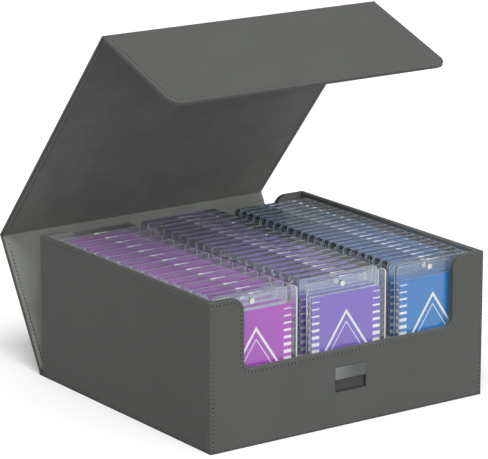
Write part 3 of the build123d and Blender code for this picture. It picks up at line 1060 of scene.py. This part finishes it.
class CARDCASE_OT_stage(bpy.types.Operator):
    """Sets the stage: pale floor, even sky, soft key and fill lights and the camera"""

    bl_idname = "cardcase.stage"
    bl_label = "Set stage"

    def execute(self, context):
        settings = context.scene.case_stage
        self.floor(settings)
        self.sky(context.scene, settings)
        key_way = direction(settings.key_azimuth, settings.key_elevation)
        fill_way = direction(settings.fill_azimuth, settings.fill_elevation)
        self.lamp("key_light", settings.key, key_way, settings.spread)
        self.lamp("fill_light", settings.fill, fill_way, settings.spread)
        self.camera(context.scene, settings)
        context.scene.view_settings.view_transform = "Standard"
        # The clear holders stand many deep, so light passes more faces here than in most scenes
        deep, lamps_deep = 32, 96
        paths = context.scene.cycles
        paths.max_bounces = deep
        paths.glossy_bounces = deep
        paths.transmission_bounces = deep
        paths.transparent_max_bounces = lamps_deep
        return {"FINISHED"}

    def floor(self, settings):
        """A white floor that is greyer where it lights the case, with a little glow where it is seen."""
        half = settings.floor_size / 2
        corners = [(-half, -half, 0), (half, -half, 0), (half, half, 0), (-half, half, 0)]
        mesh = bpy.data.meshes.new("floor")
        mesh.from_pydata(corners, [], [(0, 1, 2, 3)])
        piece = new_object("floor", mesh)
        made, tree, _ = start_material("studio_floor")
        shown, bounced = list(settings.floor), list(settings.floor_bounce)
        seen = rays(tree, *SEEN)
        tone = add_node(tree, "ShaderNodeMix", {0: seen, MIX_A: bounced, MIX_B: shown}, data_type="RGBA")
        paint = add_node(tree, "ShaderNodeBsdfDiffuse", {"Color": tone})
        direct = rays(tree, "Camera", "Transmission")
        strength = add_node(tree, "ShaderNodeMath", {0: direct, 1: settings.floor_glow}, operation="MULTIPLY")
        glow = add_node(tree, "ShaderNodeEmission", {"Color": shown, "Strength": strength})
        both = add_node(tree, "ShaderNodeAddShader", {0: paint, 1: glow})
        add_node(tree, "ShaderNodeOutputMaterial", {"Surface": both})
        mesh.materials.append(made)

    def sky(self, scene, settings):
        """An even light, seen as a white horizon under a dimmer ceiling."""
        world = bpy.data.worlds.new("studio")
        world.use_nodes = True
        tree = world.node_tree
        tree.nodes.clear()
        horizon, overhead = 0.03, 0.2  # rise of a view that ends the white and starts the ceiling
        white = (1, 1, 1, 1)
        view = add_node(tree, "ShaderNodeTexCoord").outputs["Generated"]
        _, _, rise = add_node(tree, "ShaderNodeSeparateXYZ", {0: view}).outputs
        ceiling = add_node(
            tree,
            "ShaderNodeMapRange",
            {
                "Value": rise,
                "From Min": horizon,
                "From Max": overhead,
                "To Min": 1.0,
                "To Max": settings.ceiling,
            },
            interpolation_type="SMOOTHSTEP",
        )
        light = add_node(tree, "ShaderNodeBackground", {"Color": white, "Strength": settings.sky})
        shown = add_node(tree, "ShaderNodeBackground", {"Color": white, "Strength": ceiling})
        both = add_node(tree, "ShaderNodeMixShader", {0: rays(tree, *SEEN), 1: light, 2: shown})
        add_node(tree, "ShaderNodeOutputWorld", {"Surface": both})
        scene.world = world

    def lamp(self, name, strength, way, spread):
        """A soft light that shines on the case from a direction."""
        lamp = bpy.data.lights.new(name, "SUN")
        lamp.energy = strength
        lamp.angle = spread
        new_object(name, lamp).rotation_euler = way.to_track_quat("Z", "Y").to_euler()

    def camera(self, scene, settings):
        """The camera, looking at its target."""
        lens = bpy.data.cameras.new("camera")
        lens.lens = settings.focal_pixels * lens.sensor_width / PHOTO_WIDTH
        made = new_object("camera", lens)
        way = direction(settings.view_azimuth, settings.view_elevation)
        made.location = Vector(settings.target) + way * settings.view_distance
        made.rotation_euler = way.to_track_quat("Z", "Y").to_euler()
        scene.camera = made


class CARDCASE_PT_panel(bpy.types.Panel):
    """Lists the steps that dress the case"""

    bl_idname = "CARDCASE_PT_panel"
    bl_label = "Card Case"
    bl_space_type = "VIEW_3D"
    bl_region_type = "UI"
    bl_category = "Card Case"

    def draw(self, context):
        for step in STEPS:
            self.layout.operator(step.bl_idname)


GROUPS = {"case_sizes": CaseSizes, "case_colours": CaseColours, "case_stage": StageSettings}
STEPS = (
    CARDCASE_OT_box,
    CARDCASE_OT_cover,
    CARDCASE_OT_catch,
    CARDCASE_OT_folds,
    CARDCASE_OT_seams,
    CARDCASE_OT_holders,
    CARDCASE_OT_stage,
)


def register():
    for kind in (*GROUPS.values(), *STEPS, CARDCASE_PT_panel):
        bpy.utils.register_class(kind)
    for name, group in GROUPS.items():
        setattr(bpy.types.Scene, name, PointerProperty(type=group))


def unregister():
    for name in GROUPS:
        delattr(bpy.types.Scene, name)
    for kind in reversed((*GROUPS.values(), *STEPS, CARDCASE_PT_panel)):
        bpy.utils.unregister_class(kind)


def main():
    register()
    for step in STEPS:
        family, name = step.bl_idname.split(".")
        getattr(getattr(bpy.ops, family), name)()


if __name__ == "__main__":
    main()
